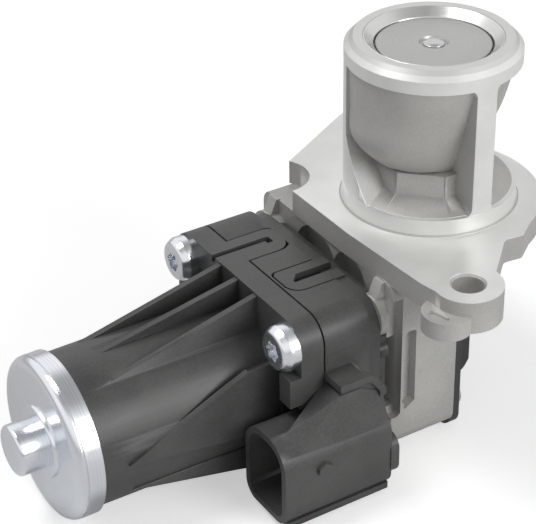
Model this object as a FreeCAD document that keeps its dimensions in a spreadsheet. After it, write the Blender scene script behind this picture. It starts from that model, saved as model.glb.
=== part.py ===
"""Electric exhaust gas recirculation valve: a poppet valve in a plug-in cast spigot, lifted by a
geared motor through a spiral cam. Frame: +Z is the spigot axis, z = 0 the mounting face, +X runs
from the motor to the valve. Millimetres."""
import FreeCAD, Part
import math
import os
import re

from FreeCAD import Placement, Rotation, Vector

SIZES = [
    ("spigot_radius", 20, "spigot: outer radius of ring, pillar and base"),
    ("ring_relief", 0.1, "spigot: ring and pillar inside the radius of the base"),
    ("spigot_height", 39.7, "spigot: top of the ring above the mounting face"),
    ("ring_band", 5, "spigot: height of the turned band at the top"),
    ("ring_chamfer", 2, "spigot: outer chamfer of the ring"),
    ("base_height", 4, "spigot: height of the turned base"),
    ("funnel_top", 18.7, "spigot: cast funnel radius under the band"),
    ("funnel_waist", 12.5, "spigot: cast funnel radius at its waist"),
    ("plinth_top", 11.7, "spigot: top of the faceted plinth"),
    ("plinth_foot", 6.5, "spigot: foot of the plinth facets"),
    ("plinth_radius", 15.4, "spigot: corner radius of the plinth"),
    ("pillar_width", 5.3, "spigot: width of the turned pillar"),
    ("bulge_foot", 7, "spigot: lower edge of the outlet duct wall"),
    ("gas_bore", 10.6, "gas way: bore radius"),
    ("gas_floor", 13.5, "gas way: floor above the mounting face"),
    ("outlet_radius", 7.5, "gas way: radius of the side outlet"),
    ("outlet_height", 22.5, "gas way: height of the side outlet"),
    ("seat_radius", 15.7, "seat insert: outer radius"),
    ("seat_lip", 13.3, "seat insert: radius of the inner lip"),
    ("seat_sink", 1.8, "seat insert: lip below the ring top"),
    ("seat_depth", 6.5, "seat insert: height"),
    ("seat_throat", 11.2, "seat insert: throat radius"),
    ("disc_radius", 12.9, "poppet disc: radius"),
    ("disc_thickness", 2.9, "poppet disc: thickness"),
    ("disc_rim", 1.2, "poppet disc: straight part of the edge"),
    ("seat_gap", 0.08, "closed disc to seat"),
    ("stem_radius", 3, "stem: radius"),
    ("stem_head", 2.4, "stem: radius of the riveted end"),
    ("running_gap", 0.04, "radial clearance of a running fit"),
    ("fixed_gap", 0.02, "radial clearance of a fixed fit"),
    ("clear_gap", 0.3, "clearance between pieces that pass each other"),
    ("bush_radius", 5, "guide bush: outer radius"),
    ("bush_drop", 8.4, "guide bush: lower end under the mounting face"),
    ("tower_radius", 6, "stem tower: radius"),
    ("tower_drop", 11, "stem tower: lower end under the mounting face"),
    ("flange_thickness", 6, "flange: thickness"),
    ("flange_round", 26, "flange: radius about the spigot axis"),
    ("flange_left", 26, "flange: straight side towards the motor"),
    ("ear_place_x", 16, "flange: bolt ear from the spigot axis, along X"),
    ("ear_place_y", 36.2, "flange: bolt ear from the spigot axis, along Y"),
    ("ear_radius", 7.8, "flange: radius of a bolt ear"),
    ("ear_thickness", 7.8, "flange: thickness of a bolt ear"),
    ("bolt_radius", 3.5, "flange: radius of a bolt hole"),
    ("notch_radius", 7.9, "flange: radius of the corner notch"),
    ("case_reach", 25.5, "gear case: motor side from the spigot axis"),
    ("case_front", 22.5, "gear case: front face, at negative Y"),
    ("case_rear", 31.5, "gear case: rear face, at positive Y"),
    ("case_bottom", 50, "gear case: lower face"),
    ("case_wall", 2.6, "gear case: wall"),
    ("case_front_wall", 3.5, "gear case: front wall"),
    ("case_floor", 4, "gear case: wall towards the motor"),
    ("case_corner", 4, "gear case: corner radius"),
    ("cover_plate", 2.5, "gear cover: thickness of the rim plate"),
    ("cover_reach", 8, "gear cover: dome end from the spigot axis"),
    ("cover_front", 8, "gear cover: dome front, at negative Y"),
    ("cover_rear", 13, "gear cover: dome rear, at positive Y"),
    ("cover_wall", 1.8, "gear cover: wall of the dome"),
    ("cover_bottom", 52, "gear cover: lower edge"),
    ("roof_drop", 10, "gear cover: top edge under the mounting face"),
    ("axis_y", 4.4, "drive: motor axis, Y"),
    ("axis_drop", 33, "drive: motor axis under the mounting face"),
    ("output_drop", 22, "drive: output axis under the mounting face"),
    ("stack_half", 27, "drive stack: half width"),
    ("stack_top", 8.1, "drive stack: top under the mounting face"),
    ("stack_rim", 0.2, "drive stack: bottom edge below the motor barrel"),
    ("stack_corner", 6.2, "drive stack: corner radius"),
    ("stack_gap", 3, "drive stack: gap between drive flange and gear case"),
    ("drive_plate", 3.1, "drive flange: thickness"),
    ("connector_plate_depth", 12.3, "connector plate: thickness"),
    ("motor_plate", 5.7, "motor housing: flange thickness"),
    ("barrel_length", 44.4, "motor housing: barrel length"),
    ("barrel_radius", 18.3, "motor housing: barrel radius"),
    ("barrel_wall", 2, "motor housing: barrel wall"),
    ("rib_width", 1.5, "motor housing: rib width"),
    ("rib_reach", 88, "motor housing: far end of the ribs from the spigot axis"),
    ("cap_lip", 0.7, "end cap: radius beyond the barrel"),
    ("cap_depth", 6, "end cap: depth"),
    ("cap_sheet", 1.2, "end cap: sheet thickness"),
    ("cap_boss", 5.9, "end cap: bearing boss radius"),
    ("cap_boss_length", 7.3, "end cap: bearing boss length"),
    ("screw_y", 21.8, "housing screws: from the motor axis, along Y"),
    ("screw_drop", 14.3, "housing screws: upper pair under the mounting face"),
    ("screw_low", 45, "housing screws: lower one under the mounting face"),
    ("screw_radius", 2.5, "housing screws: shank radius"),
    ("screw_head", 5.4, "housing screws: head radius"),
    ("screw_head_height", 4.2, "housing screws: head height"),
    ("boss_radius", 5, "housing screws: boss radius in the gear case"),
    ("boss_depth", 5.5, "housing screws: boss depth inside the gear case"),
    ("plug_left", 60, "connector: mouth from the spigot axis"),
    ("plug_front", 32.1, "connector: front, at negative Y"),
    ("plug_rear", 15.5, "connector: rear, at negative Y"),
    ("plug_top", 30, "connector: top under the mounting face"),
    ("plug_bottom", 51, "connector: bottom under the mounting face"),
    ("plug_wall", 1.6, "connector: shroud wall"),
    ("plug_depth", 16, "connector: depth of the mouth"),
    ("pin_pitch", 2.6, "connector: pin pitch"),
    ("pin_size", 0.64, "connector: pin thickness"),
    ("pin_sink", 6, "connector: pin tips behind the mouth"),
    ("gear_one", 0.6, "gears: module of the motor stage"),
    ("gear_two", 0.8, "gears: module of the output stage"),
    ("backlash", 0.12, "gears: tooth thinning"),
    ("gear_spread", 0.06, "gears: added centre distance"),
    ("layer_gap", 0.4, "gears: axial gap between layers"),
    ("gear_width", 3.8, "gears: face width"),
    ("cam_width", 3.4, "gears: thickness of the cam plate"),
    ("shaft_radius", 1.6, "motor shaft: radius"),
    ("axle_radius", 2, "gear pins: radius"),
    ("cam_far", 14, "cam: slot radius with the valve closed"),
    ("cam_lift", 6, "cam: lift over the cam turn"),
    ("cam_turn", 80, "cam: turn in degrees"),
    ("cam_hub", 6.4, "cam: hub radius"),
    ("cam_land", 2.4, "cam: land outside the slot"),
    ("roller_radius", 2.3, "follower: roller radius"),
    ("roller_pin", 1.2, "follower: roller pin radius"),
    ("spring_radius", 4.6, "return spring: mean coil radius"),
    ("spring_wire", 0.6, "return spring: wire radius"),
    ("spring_length", 15.2, "return spring: length at rest"),
    ("spring_turns", 5.5, "return spring: turns"),
    ("retainer_radius", 5.8, "spring retainer: radius"),
    ("retainer_thickness", 1.6, "spring retainer: thickness"),
    ("yoke_width", 6.4, "stem yoke: width across the cam"),
    ("yoke_depth", 8.4, "stem yoke: depth along the drive"),
    ("board_thickness", 1.6, "sensor board: thickness"),
    ("board_width", 10, "sensor board: width"),
    ("board_height", 14, "sensor board: height"),
    ("can_wall", 1.2, "motor can: wall"),
    ("magnet_thickness", 2.6, "motor magnets: thickness"),
    ("core_start", 10, "armature: core from the far end of the barrel"),
    ("core_end", 9.4, "armature: core from the motor flange"),
    ("winding_overhang", 3.4, "windings: length beyond the core"),
    ("commutator_radius", 4, "commutator: radius"),
    ("commutator_length", 4.6, "commutator: length"),
    ("brush_width", 4, "brushes: width across the axis"),
    ("brush_length", 3.4, "brushes: width along the axis"),
    ("bearing_radius", 5, "front bearing: outer radius"),
    ("air_gap", 0.5, "armature: gap to the magnets"),
    ("cover_screw_radius", 1.5, "cover screws: shank radius"),
    ("cover_screw_head", 3, "cover screws: head radius"),
    ("cover_screw_rise", 2.2, "cover screws: head height"),
    ("cover_screw_grip", 6, "cover screws: length in the case"),
]
MOTOR_TEETH = 10
WHEEL_TEETH = 32
SMALL_TEETH = 10
OUTPUT_TEETH = 24

doc = FreeCAD.newDocument("egr_valve")
sheet = doc.addObject("Spreadsheet::Sheet", "sizes")
for row, (alias, number, note) in enumerate(SIZES, 1):
    sheet.set(f"A{row}", note)
    sheet.set(f"B{row}", str(number))
    sheet.setAlias(f"B{row}", alias)
doc.recompute()
NAMES = {alias for alias, number, note in SIZES}
ORIGIN = Vector(0, 0, 0)
UP = Vector(0, 0, 1)


class Values:
    """The sheet's numbers as attributes."""

    def __getattr__(self, alias):
        return float(sheet.get(alias))


v = Values()


def link(formula):
    """A formula over the sheet's aliases, as an expression of this document."""
    return re.sub(r"[a-z_]+", lambda word: "sizes." + word[0] if word[0] in NAMES else word[0], formula)


def round_off(points):
    """Closed outline through the points; a third number rounds that corner to its radius."""
    ends = []
    arcs = []
    count = len(points)
    for index, point in enumerate(points):
        corner = Vector(point[0], point[1], 0)
        radius = point[2] if len(point) > 2 else 0
        before = Vector(*points[index - 1][:2], 0) - corner
        after = Vector(*points[(index + 1) % count][:2], 0) - corner
        turn = before.getAngle(after)
        if radius <= 0 or turn > math.pi - 0.01:
            ends.append((corner, corner))
            continue
        reach = radius / math.tan(turn / 2)
        before.normalize()
        after.normalize()
        middle = before + after
        middle.normalize()
        deep = radius / math.sin(turn / 2) - radius
        ends.append((corner + before * reach, corner + after * reach))
        arcs.append(Part.Arc(ends[-1][0], corner + middle * deep, ends[-1][1]))
    lines = []
    for index in range(count):
        start = ends[index][1]
        end = ends[(index + 1) % count][0]
        if (end - start).Length > 1e-6:
            lines.append(Part.LineSegment(start, end))
    return lines + arcs


def box_outline(low_u, high_u, low_v, high_v, radius=0.0):
    return round_off([(low_u, low_v, radius), (high_u, low_v, radius),
                      (high_u, high_v, radius), (low_u, high_v, radius)])


def ring(u, w, radius):
    return [Part.Circle(Vector(u, w, 0), UP, radius)]


def polar(radius, degrees):
    angle = math.radians(degrees)
    return Vector(radius * math.cos(angle), radius * math.sin(angle), 0)


class Piece:
    """One sub-part as a body: sketches on its own origin planes, padded, cut or turned."""

    def __init__(self, label):
        self.body = doc.addObject("PartDesign::Body", label)
        self.body.Label = label
        self.body.AllowCompound = True
        self.label = label
        self.count = 0

    def name(self, kind):
        self.count += 1
        return f"{self.label}_{kind}_{self.count}"

    def sketch(self, plane, outline, base=ORIGIN, start="0", spin=0.0):
        """Sketch on plane XY, YZ or XZ, lifted by the formula start along the plane's normal."""
        role = plane + "_Plane"
        support = next(item for item in self.body.Origin.OriginFeatures if item.Role == role)
        sketch = self.body.newObject("Sketcher::SketchObject", self.name("sketch"))
        sketch.AttachmentSupport = [(support, "")]
        sketch.MapMode = "FlatFace"
        sketch.AttachmentOffset = Placement(base, Rotation(Vector(0, 1, 0), spin))
        if start != "0":
            sketch.setExpression("AttachmentOffset.Base.z", link(start))
        sketch.addGeometry(outline, False)
        sketch.Visibility = False
        return sketch

    def pad(self, plane, outline, length, start="0"):
        feature = self.body.newObject("PartDesign::Pad", self.name("pad"))
        feature.Profile = self.sketch(plane, outline, start=start)
        feature.setExpression("Length", link(length))
        return feature

    def cut(self, plane, outline, length, start="0"):
        feature = self.body.newObject("PartDesign::Pocket", self.name("cut"))
        feature.Profile = self.sketch(plane, outline, start=start)
        feature.Reversed = True
        feature.setExpression("Length", link(length))
        return feature

    def turn(self, outline, axis="V_Axis", base=ORIGIN, angle=360.0, spin=0.0, kind="Revolution"):
        """Turned about the sketch's own V or H axis; kind Groove cuts instead."""
        feature = self.body.newObject("PartDesign::" + kind, self.name("turn"))
        sketch = self.sketch("XZ", outline, base=base, spin=spin)
        feature.Profile = sketch
        feature.ReferenceAxis = (sketch, [axis])
        feature.Angle = angle
        return feature

    def turn_motor(self, points, kind="Revolution"):
        """Turned about the motor axis from points (x, radius)."""
        return self.turn(round_off(points), "H_Axis", Vector(0, -v.axis_drop, -v.axis_y), kind=kind)


# Places along X, from the spigot axis towards the motor.
case_left = -v.case_reach
drive_right = case_left - v.stack_gap
drive_left = drive_right - v.drive_plate
plate_left = drive_left - v.connector_plate_depth
motor_left = plate_left - v.motor_plate
barrel_left = motor_left - v.barrel_length
cap_left = barrel_left - v.cap_depth
boss_left = cap_left - v.cap_boss_length
DRIVE_RIGHT = "-case_reach - stack_gap"
DRIVE_LEFT = DRIVE_RIGHT + " - drive_plate"
PLATE_LEFT = DRIVE_LEFT + " - connector_plate_depth"
MOTOR_LEFT = PLATE_LEFT + " - motor_plate"

# Places along Y and Z.
stack_front = v.axis_y - v.stack_half
stack_rear = v.axis_y + v.stack_half
axis_z = -v.axis_drop
output_z = -v.output_drop
motor_axis = Vector(v.axis_y, axis_z, 0)
output_axis = Vector(0, output_z, 0)
screw_places = [(v.axis_y - v.screw_y, -v.screw_drop), (v.axis_y + v.screw_y, -v.screw_drop),
                (v.axis_y + v.screw_y, -v.screw_low)]

# Gear centres: the wheel shares the motor stage and the output stage.
reach_one = v.gear_one * (MOTOR_TEETH + WHEEL_TEETH) / 2 + v.gear_spread
reach_two = v.gear_two * (SMALL_TEETH + OUTPUT_TEETH) / 2 + v.gear_spread
span = output_axis - motor_axis
along = (span.Length ** 2 + reach_one ** 2 - reach_two ** 2) / (2 * span.Length)
aside = math.sqrt(reach_one ** 2 - along ** 2)
span.normalize()
wheel_axis = motor_axis + span * along + Vector(-span.y, span.x, 0) * aside

# Gear layers along X, counted from the inner face of the case wall.
LAYER_ONE = "-case_reach + case_floor + clear_gap"
LAYER_TWO = LAYER_ONE + " + gear_width + layer_gap"
LAYER_CAM = LAYER_TWO + " + gear_width"
layer_one = case_left + v.case_floor + v.clear_gap
layer_two = layer_one + v.gear_width + v.layer_gap
layer_cam = layer_two + v.gear_width
cam_face = layer_cam + v.cam_width

# The case is as deep as the layers and the sensor board need.
DEPTH = "case_floor + 3 * clear_gap + 2 * gear_width + layer_gap + cam_width + board_thickness"
CASE_OPEN = "-case_reach + " + DEPTH
case_open = cam_face + v.board_thickness + 2 * v.clear_gap
stack_low = axis_z - v.barrel_radius - v.stack_rim
cap_radius = v.barrel_radius + v.cap_lip

# Motor parts along X.
CORE_LENGTH = "barrel_length - core_start - core_end"
core_left = barrel_left + v.core_start
core_right = motor_left - v.core_end
commutator_left = core_right + v.winding_overhang + v.layer_gap
brush_left = commutator_left + (v.commutator_length - v.brush_length) / 2


def gear_outline(centre, module, teeth, pointing, gap_there=False):
    """Involute spur gear outline; a tooth, or a gap, points along the angle in degrees."""
    pitch = module * teeth / 2
    base = pitch * math.cos(math.radians(20))
    tip = pitch + module
    root = pitch - 1.2 * module
    half = math.pi / (2 * teeth) - v.backlash / (2 * pitch)
    bend = math.tan(math.radians(20)) - math.radians(20)
    start = max(base, root)
    radii = [start + (tip - start) * step / 3 for step in range(4)]
    flank = []
    for radius in radii:
        roll = math.acos(base / radius)
        flank.append((radius, half + bend - (math.tan(roll) - roll)))
    points = []
    step = 2 * math.pi / teeth
    turned = math.radians(pointing) + (step / 2 if gap_there else 0)
    foot = min(flank[0][1], step / 2 * 0.86)
    for tooth in range(teeth):
        angle = turned + tooth * step
        side = [(root, foot)] + flank if root < start - 1e-6 else flank
        points += [centre + polar(radius, math.degrees(angle - width)) for radius, width in side]
        points += [centre + polar(radius, math.degrees(angle + width)) for radius, width in reversed(side)]
    return [Part.LineSegment(points[index - 1], points[index]) for index in range(len(points))]


def direction(start, end):
    return math.degrees(math.atan2(end.y - start.y, end.x - start.x))


def valve_housing():
    """Die-cast body: flange with two ears, plug-in spigot, and the open gear case under it."""
    piece = Piece("valve_housing")
    left = -v.flange_left
    ear_x = v.ear_place_x
    ear_y = v.ear_place_y
    ear = v.ear_radius
    flange = round_off([
        (left, 24), (left, -5, 30), (left + 1.5, -31, 12), (-ear_x - 6.6, -ear_y - 4.1, 3),
        (-ear_x, -ear_y - ear + 1.5), (-ear_x + ear, -ear_y + 0.4, 1.5), (1.4, -26.6, 2), (6.1, -27.2, 1.5),
        (13, -v.flange_round * 0.85), (v.flange_round - 2, 0), (ear_x + ear - 0.3, ear_y - 2),
        (ear_x, ear_y + ear - 1), (5.3, ear_y + ear - 0.3, 6), (left + 7.2, 30.2, 2), (left, 27)])
    piece.pad("XY", flange, "flange_thickness", "-flange_thickness")
    piece.pad("XY", ring(0, 0, v.flange_round), "flange_thickness", "-flange_thickness")
    for side in (-1, 1):
        piece.pad("XY", ring(side * ear_x, side * ear_y, ear), "ear_thickness", "-ear_thickness")
    top = v.spigot_height
    band = top - v.ring_band
    base = v.spigot_radius
    outer = base - v.ring_relief
    waist = v.gas_floor + 1
    middle = Vector(v.funnel_waist + 1.9, band - 9.5, 0)
    corners = [(0, -v.tower_drop), (v.tower_radius, -v.tower_drop), (v.tower_radius, -3), (base + 0.7, -3),
               (base + 0.7, 0.1), (base, 0.8), (base, v.base_height), (v.plinth_radius - 0.6, v.plinth_foot),
               (v.funnel_waist + 0.9, v.plinth_top), (v.funnel_waist, waist)]
    profile = [Part.LineSegment(Vector(*corners[k], 0), Vector(*corners[k + 1], 0))
               for k in range(len(corners) - 1)]
    profile.append(Part.Arc(Vector(v.funnel_waist, waist, 0), middle, Vector(v.funnel_top, band, 0)))
    crown = [(v.funnel_top, band), (outer, band), (outer, top - v.ring_chamfer),
             (outer - v.ring_chamfer, top), (0, top), (0, -v.tower_drop)]
    profile += [Part.LineSegment(Vector(*crown[k], 0), Vector(*crown[k + 1], 0)) for k in range(5)]
    piece.turn(profile)
    facets = [polar(v.plinth_radius, 22.5 + 45 * k) for k in range(8)]
    piece.pad("XY", round_off([(p.x, p.y, 1.2) for p in facets]), "plinth_top - base_height", "base_height")
    duct = round_off([(v.gas_bore, band + 1), (outer, band + 1), (outer, v.bulge_foot + 6, 7),
                      (outer - 5, v.bulge_foot, 4), (v.gas_bore, v.bulge_foot)])
    piece.turn(duct, angle=150.0, spin=40.0)
    half = v.pillar_width / 2
    face = math.sqrt(outer ** 2 - half ** 2)
    post = [Part.Arc(Vector(-half, -face, 0), Vector(0, -outer, 0), Vector(half, -face, 0)),
            Part.LineSegment(Vector(half, -face, 0), Vector(half, -v.funnel_waist + 1, 0)),
            Part.LineSegment(Vector(half, -v.funnel_waist + 1, 0), Vector(-half, -v.funnel_waist + 1, 0)),
            Part.LineSegment(Vector(-half, -v.funnel_waist + 1, 0), Vector(-half, -face, 0))]
    piece.pad("XY", post, "spigot_height - ring_band - base_height + 0.4", "base_height - 0.2")
    case = box_outline(-v.case_front, v.case_rear, -v.case_bottom, -v.flange_thickness + 0.5, v.case_corner)
    piece.pad("YZ", case, DEPTH, "-case_reach")
    roof = box_outline(case_open - 1, v.cover_reach, -v.cover_front, v.cover_rear)
    piece.pad("XY", roof, "roof_drop - flange_thickness + 0.5", "-roof_drop")
    room = box_outline(-v.case_front + v.case_front_wall, v.case_rear - v.case_wall,
                       -v.case_bottom + v.case_wall, -v.flange_thickness - v.case_wall, 2.5)
    piece.cut("YZ", room, DEPTH, "-case_reach + case_floor")
    for y, z in screw_places:
        piece.pad("YZ", ring(y, z, v.boss_radius), "stack_gap + boss_depth", DRIVE_RIGHT)
    bowl = ring(v.axis_y, axis_z, v.barrel_radius + 2.2)
    piece.cut("YZ", bowl, "1.5", "-case_reach")
    piece.cut("YZ", ring(v.axis_y, axis_z, 8.2), "case_floor + 1", "-case_reach - 0.5")
    for y, z in cover_screw_places():
        piece.pad("YZ", ring(y, z, v.cover_screw_radius + 2.2), DEPTH + " - case_floor",
                  "-case_reach + case_floor")
        piece.cut("YZ", ring(y, z, v.cover_screw_radius + v.fixed_gap), "cover_screw_grip + 1",
                  CASE_OPEN + " - cover_screw_grip - 0.5")
    for axle in (output_axis, wheel_axis):
        piece.cut("YZ", ring(axle.x, axle.y, v.axle_radius + v.fixed_gap), "case_floor + 0.5", "-case_reach + 1.5")
    for y, z in screw_places:
        piece.cut("YZ", ring(y, z, v.screw_radius + 0.02), "stack_gap + boss_depth - 1", DRIVE_RIGHT)
    bore = [(0, -v.tower_drop - 1), (v.bush_radius + v.fixed_gap, -v.tower_drop - 1),
            (v.bush_radius + v.fixed_gap, v.gas_floor - 0.5), (v.bush_radius + v.fixed_gap, v.gas_floor),
            (v.gas_bore, v.gas_floor + 1.5), (v.gas_bore, top - v.seat_depth),
            (v.seat_radius + v.fixed_gap, top - v.seat_depth), (v.seat_radius + v.fixed_gap, top + 1), (0, top + 1)]
    piece.turn(round_off(bore), kind="Groove")
    outlet = piece.cut("XZ", ring(0, v.outlet_height, v.outlet_radius), "spigot_radius + 2", "0")
    outlet.Reversed = False
    for side in (-1, 1):
        piece.cut("XY", ring(side * ear_x, side * ear_y, v.bolt_radius), "ear_thickness + 2", "-ear_thickness - 1")
    piece.cut("XY", ring(left + 0.5, 25.6, v.notch_radius), "flange_thickness + 0.1", "-flange_thickness")
    pocket = box_outline(case_left + 3, case_left + 6.5, -38, -20, 0.8)
    piece.cut("XZ", pocket, "1.8", "case_front - 1.8")
    return piece.body


def valve_seat():
    """Hardened insert with the bevelled mouth and the conical seat."""
    piece = Piece("valve_seat")
    top = v.spigot_height
    lip = top - v.seat_sink
    seat_low = v.spigot_height - v.seat_sink - v.disc_thickness + 0.1
    grow = v.disc_thickness - v.disc_rim
    piece.turn(round_off([
        (v.seat_throat, top - v.seat_depth), (v.seat_radius, top - v.seat_depth), (v.seat_radius, top, 0.2),
        (v.seat_radius - 0.3, top), (v.seat_lip, lip, 0.3),
        (v.seat_lip, seat_low + grow + v.seat_lip - v.disc_radius - 1.5 * v.seat_gap),
        (v.seat_throat, seat_low + grow + v.seat_throat - v.disc_radius - 1.5 * v.seat_gap)]))
    return piece.body


def valve_disc():
    piece = Piece("valve_disc")
    top = v.spigot_height - v.seat_sink + 0.1
    low = top - v.disc_thickness
    grow = v.disc_thickness - v.disc_rim
    piece.turn(round_off([
        (v.stem_head + v.fixed_gap, low), (v.disc_radius - grow, low), (v.disc_radius, low + grow),
        (v.disc_radius, top, 0.3), (v.stem_head + 0.9, top), (v.stem_head + 0.6, top - 0.5),
        (v.stem_head + v.fixed_gap, top - 0.5)]))
    return piece.body


def valve_stem():
    piece = Piece("valve_stem")
    top = v.spigot_height - v.seat_sink + 0.3
    disc_low = v.spigot_height - v.seat_sink + 0.1 - v.disc_thickness
    end = -v.tower_drop - v.spring_length - 0.4 - v.retainer_thickness
    piece.turn(round_off([
        (0, end), (v.stem_radius - 0.8, end), (v.stem_radius - 0.8, end + v.retainer_thickness),
        (v.stem_radius, end + v.retainer_thickness), (v.stem_radius, disc_low - 4), (v.stem_head + 1.6, disc_low),
        (v.stem_head, disc_low), (v.stem_head, top - 0.3, 0.2), (v.stem_head - 0.9, top), (0, top)]))
    return piece.body


def guide_bush():
    piece = Piece("guide_bush")
    piece.turn(round_off([
        (v.stem_radius + v.running_gap, -v.bush_drop), (v.bush_radius, -v.bush_drop),
        (v.bush_radius, v.gas_floor + 1, 0.6), (v.stem_radius + v.running_gap + 0.2, v.gas_floor + 1),
        (v.stem_radius + v.running_gap, v.gas_floor + 0.6)]))
    return piece.body


def stem_seal():
    piece = Piece("stem_seal")
    low = -v.tower_drop
    piece.turn(round_off([
        (v.stem_radius + v.running_gap, low + 0.3), (v.stem_radius + 0.7, low), (v.bush_radius, low),
        (v.bush_radius, -v.bush_drop - 0.02), (v.stem_radius + 0.5, -v.bush_drop - 0.02),
        (v.stem_radius + 0.5, low + 1.2), (v.stem_radius + v.running_gap, low + 0.8)]))
    return piece.body


def return_spring():
    """Round-wire coil swept along a helix about the stem."""
    low = -v.tower_drop - v.spring_length + v.spring_wire - 0.2
    helix = doc.addObject("Part::Helix", "spring_path")
    helix.setExpression("Radius", link("spring_radius"))
    helix.setExpression("Height", link("spring_length - 2 * spring_wire"))
    helix.setExpression("Pitch", link("(spring_length - 2 * spring_wire) / spring_turns"))
    helix.Placement = Placement(Vector(0, 0, low), Rotation())
    wire = doc.addObject("Part::Circle", "spring_section")
    wire.setExpression("Radius", link("spring_wire"))
    wire.Placement = Placement(Vector(v.spring_radius, 0, low), Rotation(Vector(1, 0, 0), 90))
    sweep = doc.addObject("Part::Sweep", "return_spring")
    sweep.Label = "return_spring"
    sweep.Sections = [wire]
    sweep.Spine = (helix, [])
    sweep.Solid = True
    sweep.Frenet = True
    return sweep


def spring_retainer():
    piece = Piece("spring_retainer")
    top = -v.tower_drop - v.spring_length - 0.4
    piece.turn(round_off([
        (v.stem_radius - 0.8 + v.fixed_gap, top - v.retainer_thickness), (v.retainer_radius, top - v.retainer_thickness),
        (v.retainer_radius, top, 0.3), (v.stem_radius - 0.8 + v.fixed_gap, top)]))
    return piece.body


def stem_yoke():
    """Follower head on the stem's lower end; its arm carries the roller pin to the cam."""
    piece = Piece("stem_yoke")
    top = -v.tower_drop - v.spring_length - 0.4 - v.retainer_thickness
    roller_z = output_z - v.cam_far
    half = v.yoke_width / 2
    face = -v.yoke_depth / 2
    arm = v.roller_pin + 1.3
    block = round_off([(-half, roller_z - arm, 1), (half, roller_z - arm, 1), (half, top, 0.6), (-half, top, 0.6)])
    piece.pad("YZ", block, "yoke_depth", "-yoke_depth / 2")
    piece.pad("YZ", ring(0, roller_z, arm), f"{face - cam_face - v.clear_gap:.3f} + 0.5",
              f"{cam_face + v.clear_gap:.3f}")
    piece.cut("YZ", ring(0, roller_z, v.roller_pin + v.fixed_gap), f"{face - cam_face:.3f} + 3", f"{cam_face:.3f}")
    return piece.body


def roller_pin():
    piece = Piece("roller_pin")
    roller_z = output_z - v.cam_far
    piece.pad("YZ", ring(0, roller_z, v.roller_pin), f"{-v.yoke_depth / 2 - layer_cam:.3f} + 2.8", LAYER_CAM)
    return piece.body


def cam_roller():
    piece = Piece("cam_roller")
    roller_z = output_z - v.cam_far
    outline = ring(0, roller_z, v.roller_radius) + ring(0, roller_z, v.roller_pin + v.running_gap)
    piece.pad("YZ", outline, "cam_width - 0.4", LAYER_CAM + " + 0.2")
    return piece.body


def spiral(offset, first, last, steps):
    """Points at a distance outside the cam's centre line, whose radius falls by the lift over the turn."""
    fall = v.cam_lift / math.radians(v.cam_turn)
    points = []
    for step in range(steps + 1):
        turned = first + (last - first) * step / steps
        radius = v.cam_far - v.cam_lift * turned / v.cam_turn
        outward = polar(radius, -90 - turned) - polar(fall, -turned)
        outward.normalize()
        points.append(output_axis + polar(radius, -90 - turned) + outward * offset)
    return points


def curve(points):
    line = Part.BSplineCurve()
    line.interpolate(points)
    return line


def output_gear():
    """Output wheel with its hub and the spiral cam plate in one moulding."""
    piece = Piece("output_gear")
    pointing = direction(output_axis, wheel_axis)
    teeth = gear_outline(output_axis, v.gear_two, OUTPUT_TEETH, pointing, True)
    piece.pad("YZ", teeth, "gear_width", LAYER_TWO)
    piece.pad("YZ", ring(0, output_z, v.axle_radius + 1.1), "gear_width + layer_gap", LAYER_ONE)
    piece.pad("YZ", ring(0, output_z, v.cam_hub), "cam_width", LAYER_CAM)
    half_slot = v.roller_radius + 0.15
    land = half_slot + v.cam_land
    outer = spiral(land, -14, v.cam_turn + 18, 12)
    edge = [curve(outer), Part.LineSegment(outer[-1], output_axis), Part.LineSegment(output_axis, outer[0])]
    piece.pad("YZ", edge, "cam_width", LAYER_CAM)
    far_side = spiral(half_slot, -1.5, v.cam_turn + 1.5, 12)
    near_side = spiral(-half_slot, -1.5, v.cam_turn + 1.5, 12)
    slope = math.degrees(half_slot / v.cam_far)
    start_tip = spiral(0, -1.5 - slope, 0, 1)[0]
    slope_end = math.degrees(half_slot / (v.cam_far - v.cam_lift))
    end_tip = spiral(0, 0, v.cam_turn + 1.5 + slope_end, 1)[1]
    slot = [curve(far_side), Part.Arc(far_side[-1], end_tip, near_side[-1]),
            curve(list(reversed(near_side))), Part.Arc(near_side[0], start_tip, far_side[0])]
    piece.cut("YZ", slot, "cam_width + 0.2", LAYER_CAM)
    piece.cut("YZ", ring(0, output_z, v.axle_radius + v.running_gap), "20", LAYER_ONE + " - 1")
    piece.cut("YZ", ring(0, output_z, v.axle_radius + 2.4), "1.4", LAYER_CAM + " + cam_width - 1.2")
    return piece.body


def sensor_magnet():
    piece = Piece("sensor_magnet")
    outline = ring(0, output_z, v.axle_radius + 2.4 - v.fixed_gap) + ring(0, output_z, v.axle_radius + 0.4)
    piece.pad("YZ", outline, "1.1", LAYER_CAM + " + cam_width - 1.2")
    return piece.body


def intermediate_gear():
    piece = Piece("intermediate_gear")
    pointing = direction(wheel_axis, motor_axis)
    piece.pad("YZ", gear_outline(wheel_axis, v.gear_one, WHEEL_TEETH, pointing, True), "gear_width", LAYER_ONE)
    pointing = direction(wheel_axis, output_axis)
    small = gear_outline(wheel_axis, v.gear_two, SMALL_TEETH, pointing)
    piece.pad("YZ", small, "gear_width + layer_gap + 0.1", LAYER_ONE + " + gear_width - 0.1")
    piece.cut("YZ", ring(wheel_axis.x, wheel_axis.y, v.axle_radius + v.running_gap), "20", LAYER_ONE + " - 1")
    return piece.body


def gear_pin(label, axis, end):
    piece = Piece(label)
    piece.pad("YZ", ring(axis.x, axis.y, v.axle_radius), f"{end - case_left:.3f} - 1.6", "-case_reach + 1.6")
    return piece.body


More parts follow.
